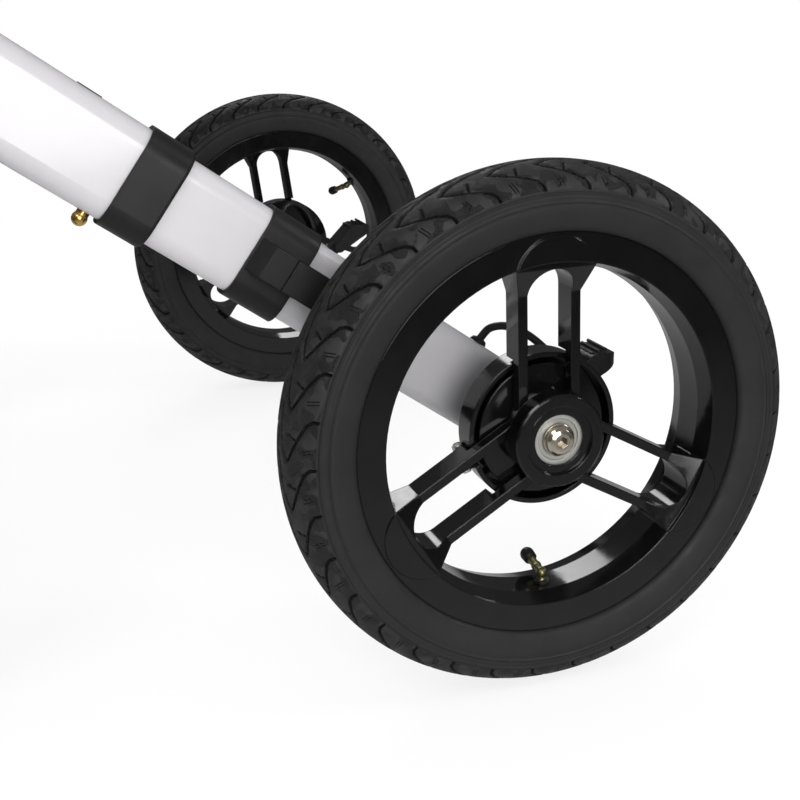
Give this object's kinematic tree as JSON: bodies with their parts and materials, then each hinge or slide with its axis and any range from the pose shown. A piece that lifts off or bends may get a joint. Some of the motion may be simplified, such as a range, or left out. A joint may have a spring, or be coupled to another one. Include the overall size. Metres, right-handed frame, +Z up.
{
  "type": "all terrain rollator",
  "caption": "Four-wheeled walking frame with pneumatic spoked wheels, telescoping rear legs, folding seat, backrest strap, hand grips and drum brakes.",
  "frame": {"origin": "on the floor, midway between the front and rear axles and between the two sides", "axes": "+Z up, -Y forwards, the way it is pushed, +X towards the left-hand side of the person pushing it"},
  "size_m": [0.7078, 0.78, 0.9468],
  "materials": {
    "tyre_rubber": "matte",
    "tube_rubber": "satin",
    "gloss_black": "gloss",
    "bearing_steel": "polished",
    "nickel_bolt": "satin",
    "shoe_lining": "matte",
    "zinc_steel": "satin",
    "cable_jacket": "satin",
    "silver_paint": "satin",
    "satin_plastic": "satin",
    "brass": "polished",
    "black_casting": "satin",
    "grip_rubber": "matte",
    "seat_fabric": "woven",
    "backrest_pad": "woven"
  },
  "bodies": {
    "frame": {"side_tubes": "silver_paint", "head_brackets": "black_casting", "front_cross_tube": "silver_paint", "pivot_pins": "nickel_bolt", "post_collars": "satin_plastic", "backrest": "backrest_pad"},
    "legs": {"upper_legs": "silver_paint", "leg_collars": "satin_plastic", "leg_cross_tube": "silver_paint"},
    "seat": {"seat_frame": "silver_paint", "seat_sling": "seat_fabric"},
    "seat_link": {"seat_links": "zinc_steel"},
    "middle_left": {"middle_leg_left": "silver_paint", "leg_clamp_left": "satin_plastic"},
    "latch_left": {"leg_latch_left": "satin_plastic"},
    "button_left": {"snap_button_left": "brass"},
    "lower_left": {"lower_leg_left": "silver_paint", "leg_end_left": "satin_plastic", "axle_rear_left": "nickel_bolt", "brake_housing_left": "gloss_black", "brake_shoes_left": "shoe_lining", "brake_cable_left": "cable_jacket"},
    "arm_left": {"brake_arm_left": "zinc_steel"},
    "wheel_rear_left": {"tyre_rear_left": "tyre_rubber", "inner_tube_rear_left": "tube_rubber", "rim_rear_left": "gloss_black", "bearings_rear_left": "bearing_steel"},
    "castor_left": {"fork_left": "black_casting", "axle_front_left": "nickel_bolt"},
    "wheel_front_left": {"tyre_front_left": "tyre_rubber", "inner_tube_front_left": "tube_rubber", "rim_front_left": "gloss_black"},
    "handle_left": {"handle_post_left": "silver_paint", "handle_head_left": "black_casting", "grip_left": "grip_rubber"},
    "lever_left": {"brake_lever_left": "gloss_black"},
    "middle_right": {"middle_leg_right": "silver_paint", "leg_clamp_right": "satin_plastic"},
    "latch_right": {"leg_latch_right": "satin_plastic"},
    "button_right": {"snap_button_right": "brass"},
    "lower_right": {"lower_leg_right": "silver_paint", "leg_end_right": "satin_plastic", "axle_rear_right": "nickel_bolt", "brake_housing_right": "gloss_black", "brake_shoes_right": "shoe_lining", "brake_cable_right": "cable_jacket"},
    "arm_right": {"brake_arm_right": "zinc_steel"},
    "wheel_rear_right": {"tyre_rear_right": "tyre_rubber", "inner_tube_rear_right": "tube_rubber", "rim_rear_right": "gloss_black", "bearings_rear_right": "bearing_steel"},
    "castor_right": {"fork_right": "black_casting", "axle_front_right": "nickel_bolt"},
    "wheel_front_right": {"tyre_front_right": "tyre_rubber", "inner_tube_front_right": "tube_rubber", "rim_front_right": "gloss_black"},
    "handle_right": {"handle_post_right": "silver_paint", "handle_head_right": "black_casting", "grip_right": "grip_rubber"},
    "lever_right": {"brake_lever_right": "gloss_black"}
  },
  "joints": [
    {"name": "leg_fold", "type": "hinge", "parent": "frame", "child": "legs", "pos_m": [0, -0.17806, 0.43676], "axis": [1, 0, 0], "range_deg": [0, 60]},
    {"name": "seat_fold", "type": "hinge", "parent": "frame", "child": "seat", "pos_m": [0, -0.12998, 0.58971], "axis": [1, 0, 0], "range_deg": [0, 34.66]},
    {"name": "link_turn", "type": "hinge", "parent": "seat", "child": "seat_link", "pos_m": [0, 0.12502, 0.58971], "axis": [1, 0, 0], "range_deg": [-20.92, 0]},
    {"name": "leg_slide_left", "type": "slide", "parent": "legs", "child": "middle_left", "axis": [0, -0.8221, 0.5693], "range_m": [0, 0.05]},
    {"name": "foot_slide_left", "type": "slide", "parent": "middle_left", "child": "lower_left", "axis": [0, -0.8221, 0.5693], "range_m": [0, 0.05]},
    {"name": "latch_turn_left", "type": "hinge", "parent": "middle_left", "child": "latch_left", "pos_m": [0.2869, 0.09414, 0.24949], "axis": [0, -0.5693, -0.8221], "range_deg": [0, 12]},
    {"name": "button_pull_left", "type": "slide", "parent": "legs", "child": "button_left", "axis": [0, -0.5693, -0.8221], "range_m": [-0.0014, 0.002], "stiffness_N_per_m": 300, "springref_m": -0.0014},
    {"name": "arm_turn_left", "type": "hinge", "parent": "lower_left", "child": "arm_left", "pos_m": [0.325, 0.24021, 0.12546], "axis": [1, 0, 0], "range_deg": [0, 8.5]},
    {"name": "rear_wheel_left", "type": "hinge", "parent": "lower_left", "child": "wheel_rear_left", "pos_m": [0.325, 0.235, 0.155], "axis": [1, 0, 0], "continuous": true},
    {"name": "castor_swivel_left", "type": "hinge", "parent": "frame", "child": "castor_left", "pos_m": [0.263, -0.285, 0.387], "axis": [0, 0, 1], "continuous": true},
    {"name": "front_wheel_left", "type": "hinge", "parent": "castor_left", "child": "wheel_front_left", "pos_m": [0.263, -0.235, 0.155], "axis": [1, 0, 0], "continuous": true},
    {"name": "handle_slide_left", "type": "slide", "parent": "frame", "child": "handle_left", "axis": [0, 0.5878, 0.809], "range_m": [-0.05, 0.04]},
    {"name": "lever_pull_left", "type": "hinge", "parent": "handle_left", "child": "lever_left", "pos_m": [0.263, 0.12437, 0.87945], "axis": [1, 0, 0], "range_deg": [0, 12], "stiffness_Nm_per_rad": 1.5},
    {"name": "leg_slide_right", "type": "slide", "parent": "legs", "child": "middle_right", "axis": [0, -0.8221, 0.5693], "range_m": [0, 0.05]},
    {"name": "foot_slide_right", "type": "slide", "parent": "middle_right", "child": "lower_right", "axis": [0, -0.8221, 0.5693], "range_m": [0, 0.05]},
    {"name": "latch_turn_right", "type": "hinge", "parent": "middle_right", "child": "latch_right", "pos_m": [-0.2869, 0.09414, 0.24949], "axis": [0, 0.5693, 0.8221], "range_deg": [0, 12]},
    {"name": "button_pull_right", "type": "slide", "parent": "legs", "child": "button_right", "axis": [0, -0.5693, -0.8221], "range_m": [-0.0014, 0.002], "stiffness_N_per_m": 300, "springref_m": -0.0014},
    {"name": "arm_turn_right", "type": "hinge", "parent": "lower_right", "child": "arm_right", "pos_m": [-0.325, 0.24021, 0.12546], "axis": [1, 0, 0], "range_deg": [0, 8.5]},
    {"name": "rear_wheel_right", "type": "hinge", "parent": "lower_right", "child": "wheel_rear_right", "pos_m": [-0.325, 0.235, 0.155], "axis": [1, 0, 0], "continuous": true},
    {"name": "castor_swivel_right", "type": "hinge", "parent": "frame", "child": "castor_right", "pos_m": [-0.263, -0.285, 0.387], "axis": [0, 0, 1], "continuous": true},
    {"name": "front_wheel_right", "type": "hinge", "parent": "castor_right", "child": "wheel_front_right", "pos_m": [-0.263, -0.235, 0.155], "axis": [1, 0, 0], "continuous": true},
    {"name": "handle_slide_right", "type": "slide", "parent": "frame", "child": "handle_right", "axis": [0, 0.5878, 0.809], "range_m": [-0.05, 0.04]},
    {"name": "lever_pull_right", "type": "hinge", "parent": "handle_right", "child": "lever_right", "pos_m": [-0.263, 0.12437, 0.87945], "axis": [1, 0, 0], "range_deg": [0, 12], "stiffness_Nm_per_rad": 1.5}
  ],
  "couplings": [
    {"joint": "seat_fold", "follows": "leg_fold", "ratio": 0.576},
    {"joint": "link_turn", "follows": "leg_fold", "ratio": -0.347},
    {"joint": "arm_turn_left", "follows": "lever_pull_left", "ratio": 0.7},
    {"joint": "arm_turn_right", "follows": "lever_pull_right", "ratio": 0.7}
  ]
}
